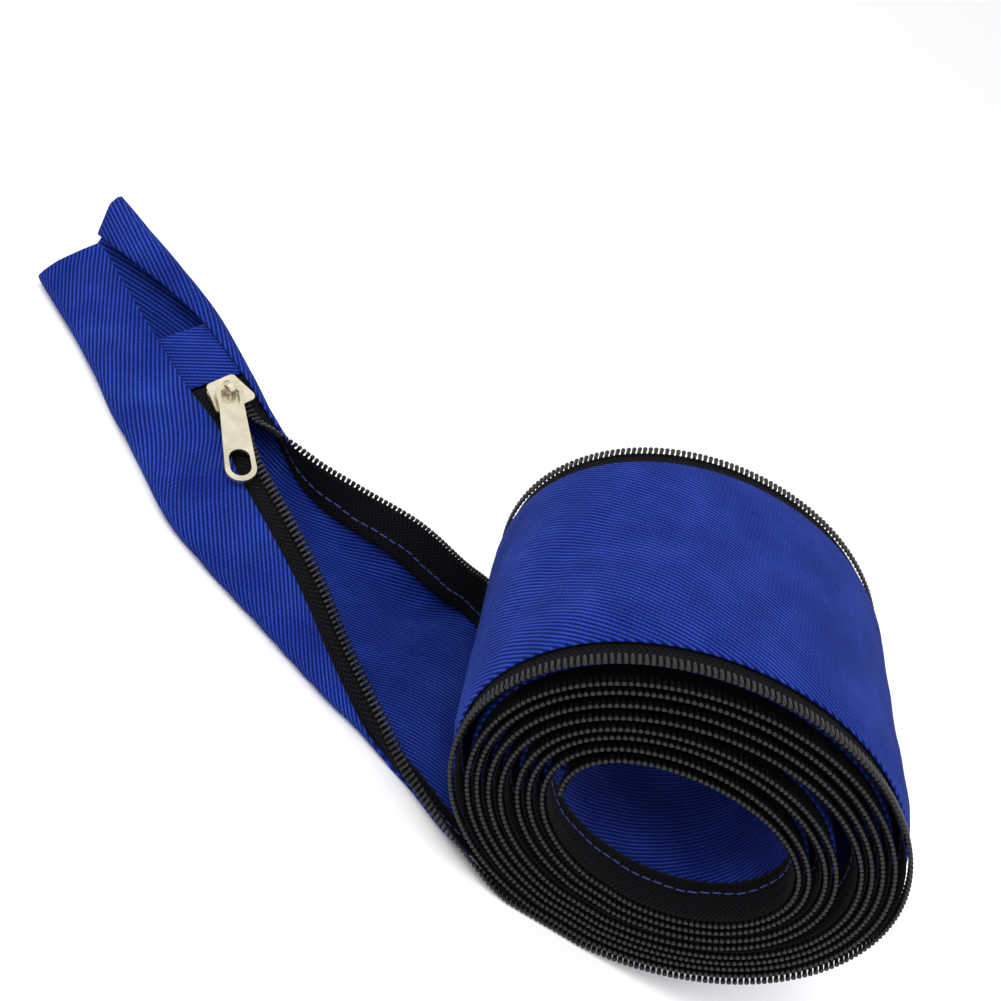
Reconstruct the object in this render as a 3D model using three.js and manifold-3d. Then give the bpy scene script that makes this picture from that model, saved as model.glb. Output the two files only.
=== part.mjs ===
// Zippered cable sleeve. One long strip of twill has half of a zip sewn to each long edge. Most
// of it is wound into a roll that lies on its side, and the free end leaves the bottom of the
// roll and turns up into a tube, which the slider closes and a patch bridges behind it.
// Millimetres, +Z up. The roll's axis is along Y, and the free end leaves towards -X.
// The origin is the middle of the flat spot on which the roll rests.
import * as THREE from "three";
import { mergeVertices } from "three/addons/utils/BufferGeometryUtils.js";
import Module from "manifold-3d";

// The strip, laid flat
const fabricWidth = 84;
const tapeShowing = 8; // how far each half of the zip, teeth included, stands out past the cloth
const fabricThickness = 1.3;
const tapeWidth = 13.5;
const tapeThickness = 0.4;
const tapeSetBack = 1.2; // the coil's teeth stand out this far past the tape's edge
const coilWidth = 3.2;
const coilThickness = 1.3;
const layerGap = 0.3;

// The roll, which its own weight makes wider than it is high
const rollHalfWidth = 66;
const rollHalfHeight = 54;
const flatCut = 0.99; // the sine at which the round is cut off to make the flat spot
const wholeTurns = 8;
const stepsPerTurn = 24;
const stepsPastLastTurn = 20;

// Air left between one turn and the next, from the outside inwards, in four directions
const turnAir = {
  lowerRight: [0.6, 0.4, 0.3, 0.3, 0.3, 0.3, 0.2, 0.3],
  upperRight: [0.9, 1.0, 0.1, 0.0, 6.4, 0.6, 3.0, 0.3],
  upperLeft: [6.6, 0.6, 2.8, 2.7, 0.0, 0.3, 1.6, 1.8],
  lowerLeft: [0.7, 0.2, 0.1, 0.2, 3.2, 1.0, 1.2, 2.6],
};

// The free end: the line on the floor along which the near flap is folded up, and the shape of
// the section that stands on it. Lengths are in hundredths of the strip's width, angles in degrees.
const nearFoldRadius = 3;
const tailColumns = [
  "x", "y", "heading", "nearFlap", "nearFold", "farFlap", "farFold", "farRadius", "rise",
  "foldSkew", "hemSkew", // how far the far fold and the far hem run ahead of the section
];
const tail = [
  [0, -42, 0, 8, 0, 12, 0, 10, 0, 0, 0],
  [-18, -42.3, 1, 8, 3, 13, 3, 10, 0, 0, 0],
  [-37, -41, 4, 8, 55, 15, 22, 10, 0, 0, 0],
  [-55, -31.5, 9, 8.5, 110, 19, 52, 10, 0, 0, 0],
  [-71, -23, 15, 13, 142, 23, 65, 10, 0, 0, 0],
  [-89, -17.2, 21, 20.5, 154, 28, 60, 9, 1, 0, 0],
  [-110, -8.6, 27, 28, 147, 30, 60, 8, 7, 0, 0],
  [-131, 0, 32, 33.5, 140, 26.5, 75, 8, 11, 0, 0],
  [-149, 9.2, 36.5, 37, 140, 23, 99, 8, 19, 0, 0],
  [-163, 22.2, 41, 38.5, 143, 22.7, 139, 7, 40, 0, 0],
  [-179, 36.8, 44, 36, 144, 23, 162, 6, 52, 0, 0],
  [-197, 54, 44, 34.2, 136, 24.7, 176, 5, 59, 5, 3],
  [-221.5, 73.2, 42, 35, 133, 29, 180, 4, 65, 20, 11],
];
const stepsPerTailRow = 3;

// Where things lie along the free end, counted in rows of that table
const sliderAt = 9.5;
const closingStart = sliderAt - 0.9;
const mouth = sliderAt - 0.32;
const chainClosed = sliderAt + 0.06;
const zipEnd = sliderAt + 0.3;
const patchStart = sliderAt + 0.36;
const patchEnd = 10.7;
const chainGap = 1;
const mouthGap = 4.2;

const patchThickness = 0.8;
const patchOverlap = 5; // how far the patch reaches under the cloth on each side

// The slider and its pull tab
const sliderLength = 11;
const sliderRearWidth = 10.2;
const sliderFrontWidth = 13.2;
const plateThickness = 1.2;
const plateClearance = 0.7;
const underClearance = 1;
const flangeThickness = 0.8;
const flangeDepth = 1.5;
const postWidth = 1.6;
const postLength = 3;
const crownLength = 5.4;
const crownWidth = 1.6;
const crownHeight = 4.5;
const crownBar = 1;
const pivotHeight = 2;
const tabLength = 34;
const tabThickness = 1.2;
const tabEyeWidth = 8.6;
const tabWaistWidth = 7.4;
const tabEndWidth = 9.2;
const tabBar = 1.2;
const eyeLength = 5.6;
const eyeWidth = 5.4;
const eyeCorner = 1.2;
const gripHoleLength = 9.4;
const gripHoleWidth = 6.2;
const gripHoleMargin = 1.8;
const tabReach = sliderAt - 1.7; // the row beside which the tab's free end lies on the near flap
const tabLean = 8; // how far down the near flap it lies
const tabLift = 2.8;

const stripWidth = fabricWidth + 2 * tapeShowing;
const half = stripWidth / 2;
const fabricHalf = fabricWidth / 2;
const tapeDepth = Math.max(fabricThickness, coilThickness) + layerGap;
const turnPitch = tapeDepth + tapeThickness + layerGap;
const hundredth = stripWidth / 100;
const rad = THREE.MathUtils.degToRad;
const { lerp, smoothstep, clamp } = THREE.MathUtils;

// Air gathered up to one quarter of a turn, counted from the first at the lower right
function airAtQuarter(quarter) {
  const side = Object.values(turnAir)[((quarter % 4) + 4) % 4];
  return side.slice(0, Math.max(0, Math.floor(quarter / 4))).reduce((sum, air) => sum + air, 0);
}

// The same, smoothed along the strip by a cubic B-spline
function airUpTo(turn) {
  const quarter = (turn - 0.125) * 4;
  const i = Math.floor(quarter);
  const f = quarter - i;
  const weights = [(1 - f) ** 3, 3 * f ** 3 - 6 * f ** 2 + 4, 3 * (1 - f) ** 3 - 6 * (1 - f) ** 2 + 4, f ** 3];
  return weights.reduce((sum, w, k) => sum + (w / 6) * airAtQuarter(i + k - 1), 0);
}

// The strip's outer face seen along the roll's axis: turn 0 rests on the floor
function rollPath(turn) {
  const angle = 2 * Math.PI * (turn - 0.25);
  const inward = turnPitch * turn + airUpTo(turn);
  return new THREE.Vector2(
    (rollHalfWidth - inward) * Math.cos(angle),
    rollHalfHeight * flatCut + (rollHalfHeight - inward) * Math.max(Math.sin(angle), -flatCut),
  );
}

// A point of the rolled strip: across it from the near edge to the far one, and in from its outer face
function rolledPoint(turn, across, depth) {
  const step = 0.01;
  const along = rollPath(turn + step).sub(rollPath(turn - step)).normalize();
  const p = rollPath(turn);
  return new THREE.Vector3(p.x - along.y * depth, across, p.y + along.x * depth);
}

// The tail's table read between its rows by a Catmull-Rom curve
function tailRow(row) {
  const i = Math.min(Math.floor(row), tail.length - 2);
  const f = row - i;
  const at = (k) => tail[clamp(k, 0, tail.length - 1)];
  const read = {};
  tailColumns.forEach((name, c) => {
    const [a, b, d, e] = [at(i - 1)[c], at(i)[c], at(i + 1)[c], at(i + 2)[c]];
    const tangent1 = (d - a) / 2;
    const tangent2 = (e - b) / 2;
    read[name] =
      (2 * f ** 3 - 3 * f ** 2 + 1) * b +
      (f ** 3 - 2 * f ** 2 + f) * tangent1 +
      (3 * f ** 2 - 2 * f ** 3) * d +
      (f ** 3 - f ** 2) * tangent2;
  });
  for (const name of ["x", "y", "nearFlap", "farFlap", "farRadius", "foldSkew", "hemSkew"]) {
    read[name] *= hundredth;
  }
  for (const name of ["heading", "nearFold", "farFold", "rise"]) read[name] = rad(Math.max(0, read[name]));
  read.nearLine = read.nearFlap - half;
  read.farLine = half - read.farFlap;
  read.nearArc = nearFoldRadius * read.nearFold;
  read.farArc = read.farRadius * read.farFold;
  return read;
}

// An arc that leaves the origin along +X and turns left, followed by a straight
function arcThenStraight(distance, radius, angle) {
  const turned = Math.min(distance / radius, angle);
  const straight = distance - radius * turned;
  return new THREE.Vector2(
    radius * Math.sin(turned) + straight * Math.cos(turned),
    radius * (1 - Math.cos(turned)) + straight * Math.sin(turned),
  );
}

// The outer face of one section of the free end, before the slider draws its edges together
function openSection(r, across) {
  if (across < r.nearLine) {
    const p = arcThenStraight(r.nearLine - across, nearFoldRadius, r.nearFold);
    return new THREE.Vector2(-p.x, p.y);
  }
  const bottomRadius = (r.farLine - r.nearLine) / Math.max(r.rise, 1e-6);
  const bottom = arcThenStraight(Math.min(across, r.farLine) - r.nearLine, bottomRadius, r.rise);
  if (across <= r.farLine) return bottom;
  const flap = arcThenStraight(across - r.farLine, r.farRadius, r.farFold);
  return flap.rotateAround(new THREE.Vector2(), r.rise).add(bottom);
}

// The same with the tapes drawn to the chain, past the cloth's own edges
function section(row, r, across) {
  const natural = openSection(r, across);
  const past = Math.abs(across) - fabricHalf;
  const closing = smoothstep(row, closingStart, mouth);
  if (past <= 0 || closing === 0) return natural;
  const side = Math.sign(across);
  const hem = openSection(r, side * fabricHalf);
  const otherHem = openSection(r, -side * fabricHalf);
  const towards = otherHem.clone().sub(hem);
  const parted = lerp(mouthGap, chainGap, smoothstep(row, mouth, chainClosed));
  const reach = (towards.length() - parted) / 2;
  const drawn = hem.add(towards.setLength((reach * past) / (half - fabricHalf)));
  return natural.lerp(drawn, closing);
}

// How far one place across the strip runs ahead of its section, towards the cuff's end
function skewAt(r, across) {
  const fold = r.farLine + r.farArc / 2;
  const pastFold = clamp((across - fold) / (fabricHalf - fold), 0, 1);
  return lerp(r.foldSkew * smoothstep(across, r.nearLine, fold), r.hemSkew, pastFold);
}

// A point of the free end, told like rolledPoint
function tailPoint(row, across, depth) {
  const r = tailRow(row);
  const step = 0.3;
  const p = section(row, r, across);
  const along = section(row, r, across + step).sub(section(row, r, across - step)).normalize();
  p.add(new THREE.Vector2(-along.y, along.x).multiplyScalar(depth));
  const ahead = skewAt(r, across);
  return new THREE.Vector3(
    r.x + Math.sin(r.heading) * p.x - Math.cos(r.heading) * ahead,
    r.y + Math.cos(r.heading) * p.x + Math.sin(r.heading) * ahead,
    p.y,
  );
}

// Triangles between two rows of points, which may differ in number
function stitch(faces, a, b) {
  let i = 0;
  let j = 0;
  while (i < a.length - 1 || j < b.length - 1) {
    const useA = j === b.length - 1 || (i < a.length - 1 && (i + 1) * (b.length - 1) <= (j + 1) * (a.length - 1));
    if (useA) faces.push(a[i], a[++i], b[j]);
    else faces.push(a[i], b[j + 1], b[j++]);
  }
}

// A closed sheet through stations that each hold a row of outer and a row of inner points
function sheet(stations) {
  const points = [];
  const faces = [];
  const number = (row) => row.map((p) => points.push(p.x, p.y, p.z) / 3 - 1);
  const rows = stations.map(({ outer, inner }) => ({ outer: number(outer), inner: number(inner) }));
  rows.slice(1).forEach((b, i) => {
    const a = rows[i];
    stitch(faces, a.inner, b.inner);
    stitch(faces, b.outer, a.outer);
    stitch(faces, [a.outer[0], a.inner[0]], [b.outer[0], b.inner[0]]);
    stitch(faces, [a.inner.at(-1), a.outer.at(-1)], [b.inner.at(-1), b.outer.at(-1)]);
  });
  stitch(faces, rows[0].outer, rows[0].inner);
  stitch(faces, rows.at(-1).inner, rows.at(-1).outer);
  return new THREE.BufferGeometry()
    .setAttribute("position", new THREE.Float32BufferAttribute(points, 3))
    .setIndex(faces);
}

// Evenly spaced values, both ends included
function spread(from, to, steps) {
  return Array.from({ length: steps + 1 }, (_, k) => lerp(from, to, k / steps));
}

// Rows along the free end from one place to another
function tailRows(from, to) {
  return spread(from, to, Math.ceil((to - from) * stepsPerTailRow));
}

function station(pointAt, place, acrosses, outerDepth, innerDepth) {
  return {
    outer: acrosses.map((across) => pointAt(place, across, outerDepth)),
    inner: acrosses.map((across) => pointAt(place, across, innerDepth)),
  };
}

// Places along the roll from its inner end outwards, with both ends of the flat spot in every turn
const flatHalfTurn = Math.acos(flatCut) / (2 * Math.PI);
const rolledSteps = wholeTurns * stepsPerTurn + stepsPastLastTurn;
const rolledPlaces = [
  ...spread(1, rolledSteps, rolledSteps - 1).map((k) => k / stepsPerTurn),
  ...spread(0, wholeTurns, wholeTurns).map((turn) => turn + flatHalfTurn),
  ...spread(1, wholeTurns, wholeTurns - 1).map((turn) => turn - flatHalfTurn),
].sort((a, b) => b - a);

// A band of the strip from the inner end of the roll to one row of the free end
function band(edges, depths, lastRow, acrossesAt) {
  const rolled = rolledPlaces.map((turn) => station(rolledPoint, turn, edges, ...depths));
  const free = tailRows(0, lastRow).map((row) => station(tailPoint, row, acrossesAt(row), ...depths));
  return sheet([...rolled, ...free]);
}

// Places across the cloth that crowd together in its two folds
function clothAcrosses(row) {
  const r = tailRow(row);
  const stops = [
    -fabricHalf, r.nearLine - r.nearArc, r.nearLine, r.farLine, r.farLine + r.farArc, fabricHalf,
  ];
  const spans = [4, 6, 8, 7, 3];
  const least = 0.5;
  const clear = stops.map((stop, k) =>
    clamp(stop, -fabricHalf + least * k, fabricHalf - least * (stops.length - 1 - k)),
  );
  return spans.flatMap((count, k) => spread(clear[k], clear[k + 1], count).slice(k ? 1 : 0));
}

// A band's two edges, told from the near or far edge of the strip
function edgesFrom(side, setBack, width) {
  const pair = [half - setBack, half - setBack - width].map((across) => side * across);
  return pair.sort((a, b) => a - b);
}

const group = new THREE.Group();
function add(name, geometry, color, roughness, metalness = 0) {
  const mesh = new THREE.Mesh(geometry, new THREE.MeshStandardMaterial({ color, roughness, metalness }));
  mesh.name = name;
  group.add(mesh);
  return mesh;
}

const twillBlue = 0x1f35a0;
const tapeBlack = 0x0c0c10;
const coilBlack = 0x18181b;
const nickel = 0xc9c4b2;

add(
  "sleeve_fabric",
  band([-fabricHalf, fabricHalf], [0, fabricThickness], tail.length - 1, clothAcrosses),
  twillBlue, 0.9,
);

for (const [name, side] of [["near", -1], ["far", 1]]) {
  const tapeEdges = edgesFrom(side, tapeSetBack, tapeWidth);
  add(
    name + "_zip_tape",
    band(tapeEdges, [tapeDepth, tapeDepth + tapeThickness], zipEnd, () => spread(...tapeEdges, 9)),
    tapeBlack, 0.85,
  );
  const coilEdges = edgesFrom(side, 0, coilWidth);
  add(
    name + "_coil",
    band(coilEdges, [0, coilThickness], zipEnd, () => spread(...coilEdges, 3)),
    coilBlack, 0.45,
  );
}

// The patch lies against the inside of the near flap, crosses the gap and meets the far flap.
// It is told from near to far over the top, so its upper face is the inner one of the sheet.
function patchStation(row) {
  const depth = fabricThickness + layerGap;
  const under = spread(patchOverlap, 0, 2);
  const line = (innerDepth) => {
    const near = under.map((inset) => tailPoint(row, -fabricHalf + inset, innerDepth));
    const far = under.map((inset) => tailPoint(row, fabricHalf - inset, innerDepth)).reverse();
    const across = spread(0, 1, 6).slice(1, -1).map((f) => near.at(-1).clone().lerp(far[0], f));
    return [...near, ...across, ...far];
  };
  return { outer: line(depth + patchThickness), inner: line(depth) };
}
add("end_patch", sheet(tailRows(patchStart, patchEnd).map(patchStation)), twillBlue, 0.9);

// The slider's own frame: X along the chain towards the roll, Y to the far side, Z out of the cloth
function chainMiddle(row) {
  return tailPoint(row, -half, 0).lerp(tailPoint(row, half, 0), 0.5);
}

const sliderFrame = (() => {
  const origin = chainMiddle(sliderAt);
  const ahead = chainMiddle(sliderAt - 0.2).sub(chainMiddle(sliderAt + 0.2)).normalize();
  const sideways = tailPoint(sliderAt, fabricHalf, 0).sub(tailPoint(sliderAt, -fabricHalf, 0));
  const up = ahead.clone().cross(sideways).normalize();
  return new THREE.Matrix4().makeBasis(ahead, up.clone().cross(ahead), up).setPosition(origin);
})();

const manifold = await Module();
manifold.setup();

function toSolid(geometry) {
  const bare = new THREE.BufferGeometry().setAttribute("position", geometry.getAttribute("position"));
  if (geometry.index) bare.setIndex(geometry.index);
  const merged = mergeVertices(bare.index ? bare.toNonIndexed() : bare, 1e-4);
  return new manifold.Manifold(
    new manifold.Mesh({
      numProp: 3,
      vertProperties: merged.attributes.position.array,
      triVerts: new Uint32Array(merged.index.array),
    }),
  );
}

function joined(geometries) {
  const mesh = manifold.Manifold.union(geometries.map(toSolid)).getMesh();
  return new THREE.BufferGeometry()
    .setAttribute("position", new THREE.BufferAttribute(mesh.vertProperties, 3))
    .setIndex(new THREE.BufferAttribute(mesh.triVerts, 1));
}

function extruded(shape, from, to, curveSegments = 8) {
  return new THREE.ExtrudeGeometry(shape, { depth: to - from, bevelEnabled: false, curveSegments })
    .translate(0, 0, from);
}

function slab(x0, x1, y0, y1, z0, z1) {
  return new THREE.BoxGeometry(x1 - x0, y1 - y0, z1 - z0)
    .translate((x0 + x1) / 2, (y0 + y1) / 2, (z0 + z1) / 2);
}

// A plate of the slider, wider at the mouth than at the rear, with rounded corners
function plateShape() {
  const [rear, front, r] = [sliderRearWidth / 2, sliderFrontWidth / 2, 2];
  const l = sliderLength / 2;
  const shape = new THREE.Shape().moveTo(-l, -rear + r);
  shape.quadraticCurveTo(-l, -rear, -l + r, -rear).lineTo(l - r, -front).quadraticCurveTo(l, -front, l, -front + r);
  shape.lineTo(l, front - r).quadraticCurveTo(l, front, l - r, front);
  return shape.lineTo(-l + r, rear).quadraticCurveTo(-l, rear, -l, rear - r).lineTo(-l, -rear + r);
}

// The flange under one side of the top plate
function flangeShape(side) {
  const l = sliderLength / 2 - 1.6;
  const slope = (sliderFrontWidth - sliderRearWidth) / 2 / sliderLength;
  const outside = (x) => side * (sliderRearWidth / 2 + slope * (x + sliderLength / 2) - 0.1);
  const inside = (x) => outside(x) - side * flangeThickness;
  const corners = [[-l, outside(-l)], [l, outside(l)], [l, inside(l)], [-l, inside(-l)]];
  return new THREE.Shape(corners.map(([x, y]) => new THREE.Vector2(x, y)));
}

// The crown is an arch over the top plate, drawn from the side
function crownShape(foot) {
  const l = crownLength / 2;
  const shape = new THREE.Shape().moveTo(-l, foot).lineTo(-l, crownHeight - l);
  shape.absarc(0, crownHeight - l, l, Math.PI, 0, true);
  shape.lineTo(l, foot).lineTo(l - crownBar, foot).lineTo(l - crownBar, crownHeight - l);
  shape.absarc(0, crownHeight - l, l - crownBar, 0, Math.PI, false);
  return shape.lineTo(-l + crownBar, foot).lineTo(-l, foot);
}

const topOfPlate = plateClearance + plateThickness;
const underTape = -(tapeDepth + tapeThickness + underClearance);
const postEnd = sliderLength / 2 - 0.3;
const bite = 0.2; // how far joined pieces sink into one another
const sliderGeometry = joined([
  extruded(plateShape(), plateClearance, topOfPlate),
  extruded(plateShape(), underTape - plateThickness, underTape),
  ...[-1, 1].map((side) => extruded(flangeShape(side), plateClearance - flangeDepth, plateClearance + bite)),
  slab(postEnd - postLength, postEnd, -postWidth / 2, postWidth / 2, underTape - bite, plateClearance + bite),
  extruded(crownShape(-bite), -crownWidth / 2, crownWidth / 2)
    .rotateX(Math.PI / 2)
    .translate(0, 0, topOfPlate),
]);
add("slider_body", sliderGeometry.applyMatrix4(sliderFrame), nickel, 0.3, 1);

// The tab turns on a bar under the crown, and lies skewed on the near flap
const pivot = new THREE.Vector3(0, 0, topOfPlate + pivotHeight).applyMatrix4(sliderFrame);
const tabFrame = (() => {
  const rest = tailPoint(tabReach, -half + tabLean, -tabLift);
  const ahead = rest.sub(pivot).normalize();
  const sliderUp = new THREE.Vector3().setFromMatrixColumn(sliderFrame, 2);
  const sideways = sliderUp.cross(ahead).normalize();
  const up = ahead.clone().cross(sideways);
  return new THREE.Matrix4().makeBasis(ahead, sideways, up).setPosition(pivot);
})();

// A hole along the tab: with r of half its width, its ends are round
function hole(from, to, width, r = width / 2) {
  const side = width / 2 - r;
  const path = new THREE.Path().moveTo(from + r, width / 2);
  path.absarc(from + r, side, r, Math.PI / 2, Math.PI).absarc(from + r, -side, r, Math.PI, 1.5 * Math.PI);
  path.absarc(to - r, -side, r, -Math.PI / 2, 0).absarc(to - r, side, r, 0, Math.PI / 2);
  return path;
}

const tabShape = (() => {
  const [eye, waist, end] = [tabEyeWidth / 2, tabWaistWidth / 2, tabEndWidth / 2];
  const start = -tabBar / 2;
  const bend = eyeLength + tabBar;
  const shape = new THREE.Shape().moveTo(start, -eye + 1.5).quadraticCurveTo(start, -eye, start + 1.5, -eye);
  shape.lineTo(bend, -waist).lineTo(tabLength - end, -end);
  shape.absarc(tabLength - end, 0, end, -Math.PI / 2, Math.PI / 2);
  shape.lineTo(bend, waist).lineTo(start + 1.5, eye).quadraticCurveTo(start, eye, start, eye - 1.5);
  shape.lineTo(start, -eye + 1.5);
  const gripEnd = tabLength - gripHoleMargin;
  shape.holes.push(
    hole(tabBar / 2, tabBar / 2 + eyeLength, eyeWidth, eyeCorner),
    hole(gripEnd - gripHoleLength, gripEnd, gripHoleWidth),
  );
  return shape;
})();
add(
  "pull_tab",
  extruded(tabShape, -tabThickness / 2, tabThickness / 2, 10).applyMatrix4(tabFrame),
  nickel, 0.3, 1,
);

export default group;
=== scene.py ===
"""Looks for the zippered cable sleeve: the rolled strip of twill, its zip and its slider.

The strip is told in its own coordinates, as in the part's source: a place along it, a distance
across it from its middle, and a depth in from its outer face. A place of 0 or more is a turn of
the roll, counted from the floor inwards, and a negative one is a row of the free end's table.
Lengths are in millimetres until a mesh is made, and then in metres.
"""
import math

import bpy
import numpy as np
from mathutils import Matrix


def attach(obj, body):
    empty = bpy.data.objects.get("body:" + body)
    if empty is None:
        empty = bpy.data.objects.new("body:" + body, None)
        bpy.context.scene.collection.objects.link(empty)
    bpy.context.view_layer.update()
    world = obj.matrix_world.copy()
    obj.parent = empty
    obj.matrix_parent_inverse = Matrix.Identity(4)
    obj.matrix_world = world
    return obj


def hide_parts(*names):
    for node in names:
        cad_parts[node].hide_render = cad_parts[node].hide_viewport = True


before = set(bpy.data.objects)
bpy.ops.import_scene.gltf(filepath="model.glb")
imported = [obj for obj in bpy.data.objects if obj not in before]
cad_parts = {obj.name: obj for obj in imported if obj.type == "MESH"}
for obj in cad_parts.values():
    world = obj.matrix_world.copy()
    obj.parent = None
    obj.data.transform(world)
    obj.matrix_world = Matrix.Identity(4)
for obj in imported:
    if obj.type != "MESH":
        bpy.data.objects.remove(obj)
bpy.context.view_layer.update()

MM = 0.001
PICTURE = 1001  # the photograph's width and height in pixels

# The strip, as in the part's source.
FABRIC_WIDTH = 84.0
TAPE_SHOWING = 8.0
FABRIC_THICKNESS = 1.3
TAPE_WIDTH = 13.5
TAPE_THICKNESS = 0.4
TAPE_SET_BACK = 1.2
COIL_WIDTH = 3.2
COIL_THICKNESS = 1.3
LAYER_GAP = 0.3
ROLL_HALF_WIDTH = 66.0
ROLL_HALF_HEIGHT = 54.0
FLAT_CUT = 0.99
LAST_TURN = 8 + 20 / 24
# The air inside each turn, at the roll's bottom, its +x side, its top and its -x side.
TURN_AIR = (
    (0.6, 0.4, 0.3, 0.3, 0.3, 0.3, 0.2, 0.3),
    (0.9, 1.0, 0.1, 0.0, 6.4, 0.6, 3.0, 0.3),
    (6.6, 0.6, 2.8, 2.7, 0.0, 0.3, 1.6, 1.8),
    (0.7, 0.2, 0.1, 0.2, 3.2, 1.0, 1.2, 2.6),
)
NEAR_FOLD_RADIUS = 3.0
# x, y, heading, near flap, near fold, far flap, far fold, far radius, rise, fold skew, hem skew
TAIL = np.array([
    [0, -42, 0, 8, 0, 12, 0, 10, 0, 0, 0],
    [-18, -42.3, 1, 8, 3, 13, 3, 10, 0, 0, 0],
    [-37, -41, 4, 8, 55, 15, 22, 10, 0, 0, 0],
    [-55, -31.5, 9, 8.5, 110, 19, 52, 10, 0, 0, 0],
    [-71, -23, 15, 13, 142, 23, 65, 10, 0, 0, 0],
    [-89, -17.2, 21, 20.5, 154, 28, 60, 9, 1, 0, 0],
    [-110, -8.6, 27, 28, 147, 30, 60, 8, 7, 0, 0],
    [-131, 0, 32, 33.5, 140, 26.5, 75, 8, 11, 0, 0],
    [-149, 9.2, 36.5, 37, 140, 23, 99, 8, 19, 0, 0],
    [-163, 22.2, 41, 38.5, 143, 22.7, 139, 7, 40, 0, 0],
    [-179, 36.8, 44, 36, 144, 23, 162, 6, 52, 0, 0],
    [-197, 54, 44, 34.2, 136, 24.7, 176, 5, 59, 5, 3],
    [-221.5, 73.2, 42, 35, 133, 29, 180, 4, 65, 20, 11],
], float)
SLIDER_AT = 9.5
CLOSING_START = SLIDER_AT - 0.9
MOUTH = SLIDER_AT - 0.32
CHAIN_CLOSED = SLIDER_AT + 0.06
ZIP_END = SLIDER_AT + 0.3
PATCH_START = SLIDER_AT + 0.36
PATCH_END = 10.7
CHAIN_GAP = 1.0
MOUTH_GAP = 4.2
PATCH_THICKNESS = 0.8
PATCH_OVERLAP = 5.0

STRIP_WIDTH = FABRIC_WIDTH + 2 * TAPE_SHOWING
HALF = STRIP_WIDTH / 2
FABRIC_HALF = FABRIC_WIDTH / 2
TAPE_DEPTH = max(FABRIC_THICKNESS, COIL_THICKNESS) + LAYER_GAP
TURN_PITCH = TAPE_DEPTH + TAPE_THICKNESS + LAYER_GAP
LAST_ROW = len(TAIL) - 1

# Finishes that only the looks have.
PLY = 0.75  # one layer of the twill
HEM = 7.0  # width of the folded hem, two layers thick
CREASE_HEIGHT = 2.2  # how far soft creases stand out where the cloth is free
CREASE_WAVES = (41, 29, 36, 58, 24)
FINE_WAVES = (12, 15, 10, 18)
SHALLOW_DEPTH = 0.26  # dents everywhere between the hems
SHALLOW_WAVES = (23, 31, 38, 52, 17, 27)
PUCKER_DEPTH = 0.07  # dents beside the seams
PUCKER_WAVES = (6.5, 9, 8)
TOOTH_PITCH = 1.65
SEAM_INSET = 2.4  # the seam lies this far in from the cloth's edge
STITCH = 2.7
STITCH_GAP = 0.7
THREAD = 0.24  # half of the thread's width


# The photograph's camera: its place in millimetres and two of its axes.
EYE = np.array([-164.9, -295.7, 256.9])
RIGHT = np.array([0.798, 0.1362, 0.5871])
FORWARD = np.array([0.2322, 0.8294, -0.5081])
FOCAL_PIXELS = 1331.0


def unit(v):
    return v / np.linalg.norm(v, axis=-1, keepdims=True)


def make_camera():
    forward = unit(FORWARD)
    right = unit(RIGHT - forward * (RIGHT @ forward))
    up = np.cross(right, forward)
    data = bpy.data.cameras.new("camera")
    data.sensor_width = 36.0
    data.lens = data.sensor_width * FOCAL_PIXELS / PICTURE
    data.clip_start, data.clip_end = 0.01, 50.0
    camera = bpy.data.objects.new("camera", data)
    bpy.context.scene.collection.objects.link(camera)
    axes = Matrix([[right[k], up[k], -forward[k]] for k in range(3)]).to_4x4()
    camera.matrix_world = Matrix.Translation([c * MM for c in EYE]) @ axes
    bpy.context.scene.camera = camera


make_camera()


# The strip's surface. AIR is the air passed at each quarter turn, with some to spare at both ends.
def air_at_quarter(quarter):
    return sum(TURN_AIR[quarter % 4][: max(0, quarter // 4)])


FIRST_QUARTER = -8
AIR = np.array([air_at_quarter(q) for q in range(FIRST_QUARTER, 48)])


def air_up_to(turn):
    """The air passed at a turn, read from AIR by a cubic B-spline."""
    quarter = (turn - 0.125) * 4
    i = np.floor(quarter).astype(int)
    f = quarter - i
    weights = ((1 - f) ** 3, 3 * f**3 - 6 * f**2 + 4, 3 * (1 - f) ** 3 - 6 * (1 - f) ** 2 + 4, f**3)
    return sum(w / 6 * AIR[i + k - 1 - FIRST_QUARTER] for k, w in enumerate(weights))


def roll_path(turn):
    angle = 2 * math.pi * (turn - 0.25)
    inward = TURN_PITCH * turn + air_up_to(turn)
    return np.stack([
        (ROLL_HALF_WIDTH - inward) * np.cos(angle),
        ROLL_HALF_HEIGHT * FLAT_CUT
        + (ROLL_HALF_HEIGHT - inward) * np.maximum(np.sin(angle), -FLAT_CUT),
    ], -1)


def rolled(turn, across, depth):
    turn, across, depth = np.broadcast_arrays(np.asarray(turn, float), across, depth)
    p = roll_path(turn)
    along = unit(roll_path(turn + 0.01) - roll_path(turn - 0.01))
    x = p[..., 0] - along[..., 1] * depth
    z = p[..., 1] + along[..., 0] * depth
    return np.stack([x, across, z], -1)


def smoothstep(x, low, high):
    t = min(max((x - low) / (high - low), 0), 1)
    return t * t * (3 - 2 * t)


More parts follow.
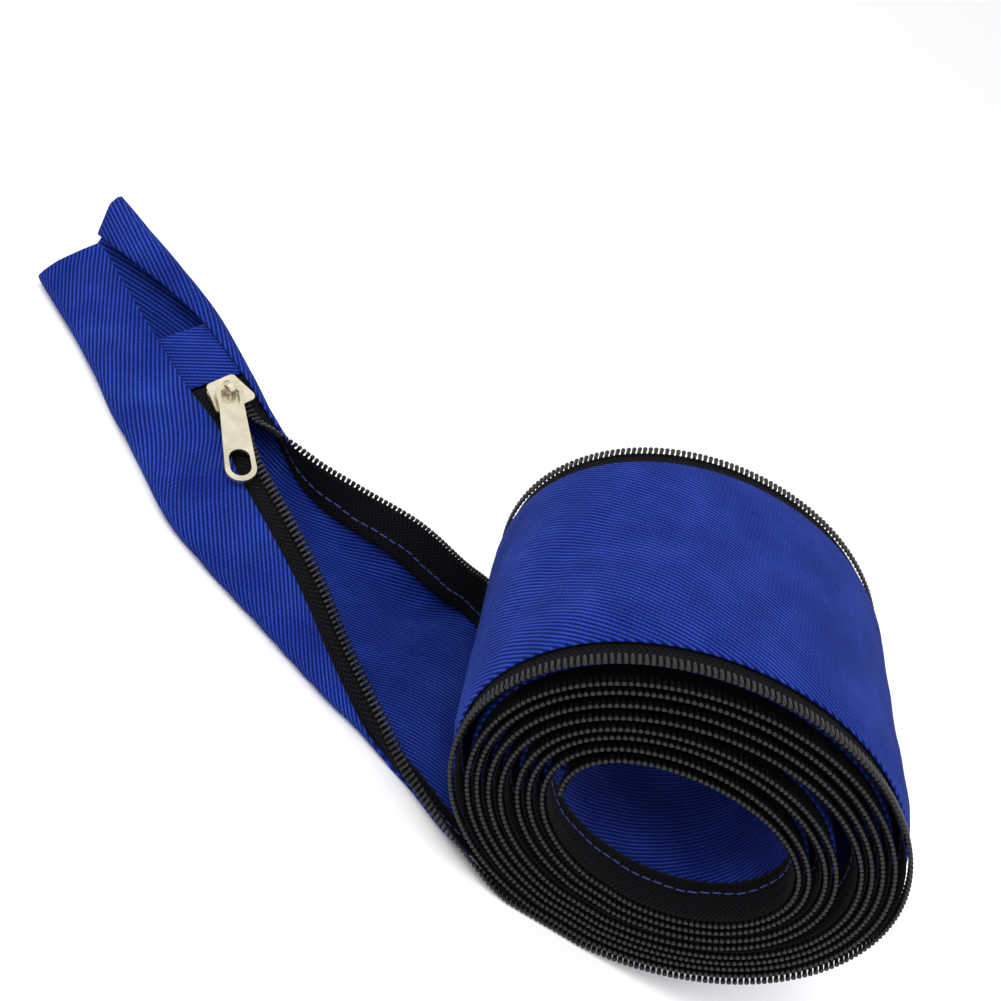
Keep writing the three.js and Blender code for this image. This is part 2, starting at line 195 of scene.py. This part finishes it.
class TailRow:
    """The tail's table read at one place by a Catmull-Rom curve."""

    def __init__(self, row):
        i = min(int(row), LAST_ROW - 1)
        f = row - i
        a, b, d, e = (TAIL[min(max(k, 0), LAST_ROW)] for k in (i - 1, i, i + 1, i + 2))
        read = (
            (2 * f**3 - 3 * f**2 + 1) * b + (f**3 - 2 * f**2 + f) * (d - a) / 2
            + (3 * f**2 - 2 * f**3) * d + (f**3 - f**2) * (e - b) / 2
        )
        hundredth = STRIP_WIDTH / 100
        self.x, self.y = read[0] * hundredth, read[1] * hundredth
        self.heading, self.near_fold, self.far_fold, self.rise = (
            math.radians(max(0, read[k])) for k in (2, 4, 6, 8)
        )
        self.near_line = read[3] * hundredth - HALF
        self.far_line = HALF - read[5] * hundredth
        self.far_radius = read[7] * hundredth
        self.fold_skew, self.hem_skew = read[9] * hundredth, read[10] * hundredth
        self.row = row


def arc_then_straight(distance, radius, angle):
    turned = np.minimum(distance / radius, angle)
    straight = distance - radius * turned
    return np.stack([
        radius * np.sin(turned) + straight * np.cos(turned),
        radius * (1 - np.cos(turned)) + straight * np.sin(turned),
    ], -1)


def open_section(r, across):
    near = arc_then_straight(r.near_line - across, NEAR_FOLD_RADIUS, r.near_fold) * [-1, 1]
    bottom_radius = (r.far_line - r.near_line) / max(r.rise, 1e-6)
    bottom = arc_then_straight(np.minimum(across, r.far_line) - r.near_line, bottom_radius, r.rise)
    flap = arc_then_straight(across - r.far_line, r.far_radius, r.far_fold)
    c, s = math.cos(r.rise), math.sin(r.rise)
    u, v = flap[..., 0], flap[..., 1]
    far = bottom + np.stack([u * c - v * s, u * s + v * c], -1)
    a = across[..., None]
    return np.where(a < r.near_line, near, np.where(a <= r.far_line, bottom, far))


def section(r, across):
    natural = open_section(r, across)
    closing = smoothstep(r.row, CLOSING_START, MOUTH)
    past = np.abs(across) - FABRIC_HALF
    if closing == 0 or (past <= 0).all():
        return natural
    parted = MOUTH_GAP + (CHAIN_GAP - MOUTH_GAP) * smoothstep(r.row, MOUTH, CHAIN_CLOSED)
    hems = [open_section(r, np.array([side * FABRIC_HALF]))[0] for side in (-1, 1)]
    drawn = natural.copy()
    for k, side in enumerate((-1, 1)):
        towards = hems[1 - k] - hems[k]
        reach = (np.linalg.norm(towards) - parted) / 2
        there = (past > 0) & (np.sign(across) == side)
        drawn[there] = hems[k] + unit(towards) * (reach * past[there] / (HALF - FABRIC_HALF))[:, None]
    return natural + (drawn - natural) * closing


def skew_at(r, across):
    """How far each place across the strip runs ahead of its section, towards the cuff's end."""
    fold = r.far_line + r.far_radius * r.far_fold / 2
    t = np.clip((across - r.near_line) / (fold - r.near_line), 0, 1)
    past_fold = np.clip((across - fold) / (FABRIC_HALF - fold), 0, 1)
    return r.fold_skew * t * t * (3 - 2 * t) * (1 - past_fold) + r.hem_skew * past_fold


def tail_points(row, across, depth):
    r = TailRow(row)
    across = np.atleast_1d(np.asarray(across, float))
    p = section(r, across)
    along = unit(section(r, across + 0.3) - section(r, across - 0.3))
    inwards = np.stack([-along[:, 1], along[:, 0]], -1)
    p = p + inwards * np.broadcast_to(depth, across.shape)[:, None]
    ahead = skew_at(r, across)
    return np.stack([
        r.x + math.sin(r.heading) * p[:, 0] - math.cos(r.heading) * ahead,
        r.y + math.cos(r.heading) * p[:, 0] + math.sin(r.heading) * ahead,
        p[:, 1],
    ], -1)


def strip_points(places, across, depth):
    """Points on a grid of places by distances across; across and depth are one row or a grid."""
    places = np.asarray(places, float)
    across = np.broadcast_to(across, (len(places), np.shape(across)[-1]))
    depth = np.broadcast_to(depth, across.shape)
    out = np.empty(across.shape + (3,))
    wound = places >= 0
    out[wound] = rolled(places[wound][:, None], across[wound], depth[wound])
    for k in np.flatnonzero(~wound):
        out[k] = tail_points(-places[k], across[k], depth[k])
    return out


def places_to(last_row, per_turn, per_row):
    """Places from the roll's inner end out to one row of the free end."""
    turns = np.linspace(LAST_TURN, 0, round(LAST_TURN * per_turn) + 1)
    rows = np.linspace(0, last_row, round(last_row * per_row) + 1)[1:]
    return np.concatenate([turns, -rows])


def length_along(points):
    return np.concatenate([[0], np.cumsum(np.linalg.norm(np.diff(points, axis=0), axis=1))])


FINE = places_to(LAST_ROW, 240, 60)
FINE_LENGTH = length_along(strip_points(FINE, [0.0], 0.0)[:, 0])


def strip_length(places):
    return np.interp(-np.asarray(places), -FINE, FINE_LENGTH)


# Meshes.
def soft_noise(u, v, waves, seed):
    """A smooth bumpy field from -1 to 1: plane waves of those lengths in seeded directions."""
    r = np.random.default_rng(seed)
    total = np.zeros(np.broadcast(u, v).shape)
    for length in waves:
        angle, phase = r.uniform(0, math.pi), r.uniform(0, 2 * math.pi)
        total += np.sin(2 * math.pi * (u * math.cos(angle) + v * math.sin(angle)) / length + phase)
    return total / len(waves)


def new_object(name, points, faces, body, uv=None):
    mesh = bpy.data.meshes.new(name)
    mesh.from_pydata((np.asarray(points) * MM).tolist(), [], faces)
    if uv is not None:
        corners = np.empty(len(mesh.loops), int)
        mesh.loops.foreach_get("vertex_index", corners)
        layer = mesh.uv_layers.new(name="strip")
        layer.data.foreach_set("uv", (np.asarray(uv)[corners] * MM).ravel())
    mesh.shade_smooth()
    mesh.update()
    piece = bpy.data.objects.new(name, mesh)
    bpy.context.scene.collection.objects.link(piece)
    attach(piece, body)
    return piece


def grid_faces(rows, columns, start=0, turned=False):
    i = (np.arange(rows - 1)[:, None] * columns + np.arange(columns - 1)).ravel() + start
    quads = np.stack([i, i + 1, i + columns + 1, i + columns], -1)
    return quads[:, ::-1] if turned else quads


def closed_sheet(name, outer, inner, uv, body):
    """A sheet with an outer and an inner grid of points, closed along its four sides."""
    rows, columns = outer.shape[:2]
    n = rows * columns
    border = np.concatenate([
        np.arange(columns), np.arange(1, rows) * columns + columns - 1,
        (rows - 1) * columns + np.arange(columns - 2, -1, -1), np.arange(rows - 2, 0, -1) * columns,
    ])
    following = np.roll(border, -1)
    rim = np.stack([border, border + n, following + n, following], -1)
    faces = np.concatenate([grid_faces(rows, columns), grid_faces(rows, columns, n, True), rim])
    points = np.concatenate([outer.reshape(-1, 3), inner.reshape(-1, 3)])
    return new_object(name, points, faces.tolist(), body, np.concatenate([uv, uv]))


def strip_uv(places, across):
    lengths = strip_length(places)
    return np.stack(np.broadcast_arrays(across, lengths[:, None]), -1).reshape(-1, 2)


def free_to_crease(places, across):
    """1 where the outer face meets nothing: round the outermost turn and on the tail's two flaps."""
    turn = places[:, None]
    outermost = np.clip((turn - 0.06) / 0.12, 0, 1) * np.clip((0.93 - turn) / 0.12, 0, 1)
    free = np.repeat(outermost, len(across), axis=1)
    for k in np.flatnonzero(places < 0):
        r = TailRow(-places[k])
        fold = NEAR_FOLD_RADIUS * r.near_fold
        near = np.clip((r.near_line - fold - across) / 5, 0, 1)
        far = np.clip((across - r.far_line - r.far_radius * r.far_fold / 2) / 5, 0, 1)
        free[k] = np.maximum(near, far) * min(1, -places[k] / 3)
    return free * np.clip((FABRIC_HALF - np.abs(across) - 1) / 9, 0, 1)


def make_cloth():
    """The twill: one layer thick, and two in its folded hems, with soft creases along the strip."""
    places = places_to(LAST_ROW, 92, 15)
    hem = np.array([0.0, 0.35, 1.1, 2.4, 4.2, HEM - 0.8, HEM, HEM + 0.8])
    middle = np.linspace(-FABRIC_HALF + HEM + 2, FABRIC_HALF - HEM - 2, 25)
    across = np.concatenate([-FABRIC_HALF + hem, middle, (FABRIC_HALF - hem)[::-1]])
    inset = FABRIC_HALF - np.abs(across)
    length = strip_length(places)[:, None]
    crease = soft_noise(across, length, SHALLOW_WAVES, 3)
    by_seam = np.exp(-((inset - SEAM_INSET) / 3) ** 2)
    pucker = soft_noise(across * 0.4, length, PUCKER_WAVES, 5) * by_seam
    middle_share = np.clip((inset - HEM) / 3, 0, 1)
    outer = SHALLOW_DEPTH * middle_share * (1 + crease) + PUCKER_DEPTH * (1 + pucker)
    fold = soft_noise(across, length * 0.8, CREASE_WAVES, 14)
    fine = soft_noise(across, length, FINE_WAVES, 15)
    outer = outer - free_to_crease(places, across) * CREASE_HEIGHT * (0.5 + 0.38 * fold + 0.12 * fine)
    edge = np.clip(1 - inset / 0.5, 0, 1)
    two_layers = FABRIC_THICKNESS - 0.14
    thick = two_layers - (two_layers - PLY) * np.clip((inset - HEM + 0.8) / 1.2, 0, 1)
    inner = np.minimum(outer + thick, FABRIC_THICKNESS) - 0.4 * edge
    outer = outer + 0.4 * edge
    cloth = closed_sheet(
        "twill_strip",
        strip_points(places, across, outer), strip_points(places, across, inner),
        strip_uv(places, across), "sleeve",
    )
    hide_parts("sleeve_fabric")
    return cloth


def make_tape(side, name, node):
    places = places_to(ZIP_END, 72, 18)
    edge = HALF - TAPE_SET_BACK
    across = np.sort(np.linspace(edge - TAPE_WIDTH, edge, 12) * side)
    length = strip_length(places)[:, None]
    ripple = 0.05 * soft_noise(across, length, (7, 11, 9), 8 + side)
    tape = closed_sheet(
        name,
        strip_points(places, across, TAPE_DEPTH + 0.05 + ripple),
        strip_points(places, across, TAPE_DEPTH + TAPE_THICKNESS - 0.05 + ripple),
        strip_uv(places, across), "sleeve",
    )
    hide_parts(node)
    return tape


def frames_along(places, across, depth):
    """The origin and the axes along, across (outwards) and in, at each place of a line of the strip."""

    def line(place_step=0.0, inner_step=0.0, depth_step=0.0):
        beside = across - math.copysign(inner_step, across)
        return strip_points(places + place_step, [beside], depth + depth_step)[:, 0]

    def share(v, axis):
        return axis * (v * axis).sum(1, keepdims=True)

    here = line()
    ahead = unit(line(place_step=-0.004) - line(place_step=0.004))
    aside = here - line(inner_step=1.0)
    aside = unit(aside - share(aside, ahead))
    inwards = line(depth_step=0.2) - here
    inwards = unit(inwards - (share(inwards, ahead) + share(inwards, aside)))
    return here, ahead, aside, inwards


def even_places(across, depth, last_row, pitch):
    """Places that lie one pitch apart along a line of the strip."""
    places = FINE[FINE > -last_row]
    along = length_along(strip_points(places, [across], depth)[:, 0])
    return np.interp(np.arange(pitch, along[-1] - pitch / 2, pitch), along, places)


def repeated(name, template, faces, frames, jitter, seed):
    """Copies of one small shape, told along, across and in, at each frame of a line."""
    here, ahead, aside, inwards = frames
    template = np.asarray(template)
    r = np.random.default_rng(seed)
    lean = r.normal(0, jitter, (len(here), 1, 1)) * template[None, :, 1:2]
    along = template[None, :, 0:1] + lean
    points = (
        here[:, None] + ahead[:, None] * along
        + aside[:, None] * template[None, :, 1:2] + inwards[:, None] * template[None, :, 2:3]
    ).reshape(-1, 3)
    count = len(template)
    all_faces = [[v + k * count for v in face] for k in range(len(here)) for face in faces]
    return new_object(name, points, all_faces, "sleeve")


def spindle(rings, sides, axis):
    """A closed shape of elliptic rings: each is its place on the axis, half sizes and shift."""
    points = []
    for place, a, b, shift in rings:
        for k in range(sides):
            angle = 2 * math.pi * (k + 0.5) / sides
            u, v = a * math.cos(angle) + shift, b * math.sin(angle)
            points.append((place, u, v) if axis == 0 else (u, place, v))
    faces = []
    for i in range(len(rings) - 1):
        for k in range(sides):
            j = (k + 1) % sides
            quad = [i * sides + k, i * sides + j, (i + 1) * sides + j, (i + 1) * sides + k]
            faces.append(quad if axis else quad[::-1])
    first = list(range(sides))
    last = [(len(rings) - 1) * sides + k for k in range(sides)]
    faces += [first[::-1], last] if axis else [first, last[::-1]]
    return points, faces


def make_coil(side, name, node):
    """The coil: one nylon loop to a tooth, slightly slanted, with a broad head at the zip's edge."""
    middle = side * (HALF - COIL_WIDTH / 2)
    places = even_places(middle, COIL_THICKNESS / 2, ZIP_END, TOOTH_PITCH)
    reach = COIL_WIDTH / 2
    rings = [
        (-reach, 0.40, 0.36, -0.16),
        (-reach + 0.35, 0.60, 0.56, -0.12),
        (-0.1, 0.60, 0.54, 0.0),
        (reach - 1.1, 0.62, 0.58, 0.04),
        (reach - 0.55, 0.76, 0.64, 0.06),
        (reach - 0.12, 0.66, 0.56, 0.08),
        (reach, 0.34, 0.34, 0.08),
    ]
    template, faces = spindle(rings, 8, 1)
    if side < 0:
        faces = [face[::-1] for face in faces]
    frames = frames_along(places, middle, COIL_THICKNESS / 2)
    coil = repeated(name, template, faces, frames, 0.02, 11 + side)
    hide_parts(node)
    return coil


def make_seam(side, name):
    """The seam's blue stitches, as they show on the tape's inner face."""
    line = side * (FABRIC_HALF - SEAM_INSET)
    template, faces = spindle([
        (-STITCH / 2, 0.08, 0.06, 0), (-STITCH / 2 + 0.35, THREAD, 0.16, 0), (0, THREAD, 0.2, 0),
        (STITCH / 2 - 0.35, THREAD, 0.16, 0), (STITCH / 2, 0.08, 0.06, 0),
    ], 6, 0)
    inside = TAPE_DEPTH + TAPE_THICKNESS + 0.03
    places = even_places(line, inside, ZIP_END - 0.3, STITCH + STITCH_GAP)
    frames = frames_along(places, line, inside)
    wander = soft_noise(0.0, strip_length(places), (21, 34, 13), 20 + side)
    frames = (frames[0] + frames[2] * 0.5 * wander[:, None],) + frames[1:]
    return repeated(name, template, faces, frames, 0.03, 30 + side)


def make_patch():
    """The patch behind the slider: it goes under both hems and bridges the gap."""
    rows = np.linspace(PATCH_START, PATCH_END, 26)
    depth = FABRIC_THICKNESS + LAYER_GAP
    under = np.linspace(PATCH_OVERLAP, 0, 6)
    bridge = np.linspace(0, 1, 15)[1:-1]

    def line(row, inward):
        near = tail_points(row, -FABRIC_HALF + under, inward)
        far = tail_points(row, FABRIC_HALF - under, inward)[::-1]
        across = near[-1] + (far[0] - near[-1]) * bridge[:, None]
        return np.concatenate([near, across, far])

    lower = np.stack([line(row, depth + PATCH_THICKNESS - 0.05) for row in rows])
    upper = np.stack([line(row, depth + 0.05) for row in rows])
    width = length_along(upper[0])
    along = length_along(upper[:, len(width) // 2])
    # Its ribs run across the sleeve, so it is laid out a quarter turn round.
    uv = np.stack(np.broadcast_arrays(along[:, None], width), -1).reshape(-1, 2)
    patch = closed_sheet("twill_patch", lower, upper, uv, "sleeve")
    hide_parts("end_patch")
    return patch


# Materials.
class Nodes:
    """A short way to write node trees."""

    def __init__(self, name):
        self.material = bpy.data.materials.new(name)
        self.material.use_nodes = True
        self.tree = self.material.node_tree
        self.shader = self.tree.nodes["Principled BSDF"]

    def plug(self, value, socket):
        if isinstance(value, bpy.types.NodeSocket):
            self.tree.links.new(value, socket)
        else:
            socket.default_value = value

    def node(self, kind, inputs=(), **settings):
        made = self.tree.nodes.new(kind)
        for name, value in settings.items():
            setattr(made, name, value)
        for key, value in dict(inputs).items():
            self.plug(value, made.inputs[key])
        return made

    def math(self, operation, a, b=0.0):
        return self.node("ShaderNodeMath", {0: a, 1: b}, operation=operation).outputs[0]

    def blend(self, a, a_share, b, b_share):
        """Each value times its share, added up."""
        return self.math("ADD", self.math("MULTIPLY", a, a_share), self.math("MULTIPLY", b, b_share))

    def half_sine(self, phase):
        """0 to 1 along a sine."""
        return self.math("ADD", self.math("MULTIPLY", self.math("SINE", phase), 0.5), 0.5)

    def noise(self, vector, scale, detail=2.0, roughness=0.5):
        inputs = {"Vector": vector, "Scale": scale, "Detail": detail, "Roughness": roughness}
        return self.node("ShaderNodeTexNoise", inputs).outputs["Fac"]

    def ramp(self, fac, *stops):
        made = self.node("ShaderNodeValToRGB", {"Fac": fac})
        elements = made.color_ramp.elements
        while len(elements) < len(stops):
            elements.new(0.5)
        for element, (place, color) in zip(elements, stops):
            element.position = place
            element.color = (*color, 1)
        return made.outputs["Color"]

    def strip_axes(self):
        """The strip's flat coordinates in metres: both together, across and along."""
        uv = self.node("ShaderNodeUVMap", uv_map="strip").outputs["UV"]
        parts = self.node("ShaderNodeSeparateXYZ", {"Vector": uv})
        return uv, parts.outputs[0], parts.outputs[1]

    def waves(self, across, length, angle, period):
        """The phase of stripes with that period, turned by angle from the strip's length."""
        turns = 2 * math.pi / period
        return self.blend(across, math.cos(angle) * turns, length, math.sin(angle) * turns)

    def finish(self, color, roughness, height=None, strength=0.5, distance=0.0003, **constants):
        self.plug(color, self.shader.inputs["Base Color"])
        self.plug(roughness, self.shader.inputs["Roughness"])
        for name, value in constants.items():
            self.shader.inputs[name.replace("_", " ")].default_value = value
        if height is not None:
            inputs = {"Height": height, "Strength": strength, "Distance": distance}
            bump = self.node("ShaderNodeBump", inputs)
            self.plug(bump.outputs["Normal"], self.shader.inputs["Normal"])
        return self.material


# Pitches are in metres, as the strip's flat coordinates are.
RIB_ANGLE = math.radians(25)
RIB_PITCH = 0.00125
YARN_ANGLE = math.radians(62)
YARN_PITCH = RIB_PITCH * 0.62
TWILL_DARK = (0.003, 0.008, 0.080)
TWILL_MID = (0.008, 0.024, 0.215)
TWILL_LIGHT = (0.036, 0.082, 0.450)
TWILL_SHEEN = (0.35, 0.45, 1.0, 1)
BONE_ANGLE = math.radians(45)
BONE_PITCH = 0.0011
BONE_COLUMN = 0.0042
TAPE_DARK = (0.0015, 0.0015, 0.002)
TAPE_MID = (0.004, 0.004, 0.005)
TAPE_LIGHT = (0.012, 0.012, 0.015)
COIL_DARK = (0.0025, 0.0025, 0.003)
COIL_LIGHT = (0.009, 0.009, 0.010)
THREAD_DARK = (0.008, 0.018, 0.14)
THREAD_LIGHT = (0.025, 0.05, 0.30)
NICKEL_DARK = (0.50, 0.45, 0.33)
NICKEL_LIGHT = (0.74, 0.69, 0.55)
FLOOR_DARK = (0.94, 0.94, 0.94)
FLOOR_LIGHT = (0.96, 0.96, 0.96)


def twill_material():
    """Diagonal ribs, crossed by finer yarn, with clouds of wear and a little fuzz."""
    n = Nodes("twill")
    uv, across, length = n.strip_axes()
    sway = n.math("MULTIPLY", n.noise(uv, 160.0, 3.0), 1.4)
    rib = n.half_sine(n.math("ADD", n.waves(across, length, RIB_ANGLE, RIB_PITCH), sway))
    yarn = n.half_sine(n.waves(across, length, YARN_ANGLE, YARN_PITCH))
    fuzz = n.noise(uv, 2600.0, 4.0, 0.7)
    weave = n.blend(rib, 0.72, n.math("MULTIPLY", yarn, rib), 0.28)
    cloud = n.noise(uv, 55.0, 4.0, 0.6)
    shade = n.blend(weave, 0.62, fuzz, 0.28)
    shade = n.math("ADD", shade, n.math("MULTIPLY", n.math("SUBTRACT", cloud, 0.5), 0.5))
    color = n.ramp(shade, (0.18, TWILL_DARK), (0.5, TWILL_MID), (0.86, TWILL_LIGHT))
    height = n.math("ADD", weave, n.math("MULTIPLY", fuzz, 0.55))
    roughness = n.math("ADD", 0.82, n.math("MULTIPLY", fuzz, 0.15))
    return n.finish(
        color, roughness, height, 0.75, 0.00035,
        Sheen_Weight=0.05, Sheen_Roughness=0.45, Sheen_Tint=TWILL_SHEEN, Specular_IOR_Level=0.04,
    )


def tape_material():
    """A black herringbone weave: columns of ribs that lean left and right by turns."""
    n = Nodes("zip_tape")
    uv, across, length = n.strip_axes()
    left = n.half_sine(n.waves(across, length, BONE_ANGLE, BONE_PITCH))
    right = n.half_sine(n.waves(across, length, -BONE_ANGLE, BONE_PITCH))
    column = n.half_sine(n.math("MULTIPLY", across, 2 * math.pi / BONE_COLUMN))
    choice = {0: n.math("GREATER_THAN", column, 0.5), 2: left, 3: right}
    herringbone = n.node("ShaderNodeMix", choice, data_type="FLOAT").outputs[0]
    fuzz = n.noise(uv, 2200.0, 3.0, 0.6)
    shade = n.blend(herringbone, 0.6, fuzz, 0.4)
    color = n.ramp(shade, (0.1, TAPE_DARK), (0.6, TAPE_MID), (0.95, TAPE_LIGHT))
    height = n.math("ADD", herringbone, n.math("MULTIPLY", fuzz, 0.4))
    roughness = n.math("ADD", 0.62, n.math("MULTIPLY", fuzz, 0.25))
    return n.finish(
        color, roughness, height, 0.6, 0.0002,
        Sheen_Weight=0.02, Sheen_Roughness=0.4, Specular_IOR_Level=0.05,
    )


def coil_material():
    n = Nodes("zip_coil")
    place = n.node("ShaderNodeTexCoord").outputs["Object"]
    speck = n.noise(place, 900.0, 3.0, 0.6)
    drift = n.noise(place, 60.0, 2.0)
    color = n.ramp(n.blend(speck, 0.6, drift, 0.4), (0.25, COIL_DARK), (0.75, COIL_LIGHT))
    roughness = n.math("ADD", 0.24, n.math("MULTIPLY", speck, 0.2))
    return n.finish(color, roughness, speck, 0.15, 0.0001, Specular_IOR_Level=0.3)


def thread_material():
    n = Nodes("seam_thread")
    place = n.node("ShaderNodeTexCoord").outputs["Object"]
    fuzz = n.noise(place, 1800.0, 3.0, 0.7)
    color = n.ramp(fuzz, (0.25, THREAD_DARK), (0.8, THREAD_LIGHT))
    return n.finish(color, 0.7, fuzz, 0.4, 0.0001, Sheen_Weight=0.2)


def nickel_material():
    """Nickel, brushed along the slider, a little yellow, and duller where hands rub it."""
    n = Nodes("slider_metal")
    place = n.node("ShaderNodeTexCoord").outputs["Object"]
    brushed = n.node("ShaderNodeMapping", {"Vector": place, "Scale": (1.0, 6.0, 1.0)}).outputs[0]
    scratch = n.noise(brushed, 900.0, 4.0, 0.65)
    cloud = n.noise(place, 130.0, 3.0, 0.6)
    color = n.ramp(cloud, (0.25, NICKEL_DARK), (0.75, NICKEL_LIGHT))
    roughness = n.math("ADD", 0.20, n.math("MULTIPLY", scratch, 0.26))
    return n.finish(color, roughness, scratch, 0.12, 0.0001, Metallic=1.0)


def floor_material():
    n = Nodes("floor")
    place = n.node("ShaderNodeTexCoord").outputs["Object"]
    color = n.ramp(n.noise(place, 3.0), (0.0, FLOOR_DARK), (1.0, FLOOR_LIGHT))
    return n.finish(color, 0.85)


def dress(piece, material):
    if piece.material_slots:
        for s in piece.material_slots:
            s.material = material
    else:
        piece.data.materials.append(material)


# Floor and lights.
def make_floor():
    reach = 6.0
    level = -0.0004
    signs = ((-1, -1), (1, -1), (1, 1), (-1, 1))
    mesh = bpy.data.meshes.new("floor")
    mesh.from_pydata([(reach * x, reach * y, level) for x, y in signs], [], [(0, 1, 2, 3)])
    floor = bpy.data.objects.new("floor", mesh)
    bpy.context.scene.collection.objects.link(floor)
    dress(floor, floor_material())


def area_light(name, place, target, size, watts):
    data = bpy.data.lights.new(name, "AREA")
    data.shape = "DISK"
    data.size = size
    data.energy = watts
    light = bpy.data.objects.new(name, data)
    bpy.context.scene.collection.objects.link(light)
    back = unit(np.array(place) - np.array(target))
    side = unit(np.cross([0, 0, 1.0], back))
    up = np.cross(back, side)
    axes = Matrix([[side[k], up[k], back[k]] for k in range(3)]).to_4x4()
    light.matrix_world = Matrix.Translation(place) @ axes


def make_light():
    middle = (-0.05, 0.0, 0.04)
    area_light("key", (-0.7, -0.5, 1.1), middle, 0.9, 11)
    area_light("fill", (0.9, -0.7, 0.7), middle, 1.2, 3)
    world = bpy.data.worlds.new("studio")
    bpy.context.scene.world = world
    world.use_nodes = True
    background = world.node_tree.nodes["Background"]
    background.inputs["Color"].default_value = (1, 1, 1, 1)
    background.inputs["Strength"].default_value = 1.0
    bpy.context.scene.view_settings.view_transform = "Standard"


# The scene.
cloth = make_cloth()
tapes = [make_tape(-1, "near_tape", "near_zip_tape"), make_tape(1, "far_tape", "far_zip_tape")]
coils = [make_coil(-1, "near_teeth", "near_coil"), make_coil(1, "far_teeth", "far_coil")]
seams = [make_seam(-1, "near_seam"), make_seam(1, "far_seam")]
patch = make_patch()

metal = [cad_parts[node] for node in ("slider_body", "pull_tab")]
for material, pieces in (
    (twill_material(), [cloth, patch]), (tape_material(), tapes), (coil_material(), coils),
    (thread_material(), seams), (nickel_material(), metal),
):
    for piece in pieces:
        dress(piece, material)

make_floor()
make_light()
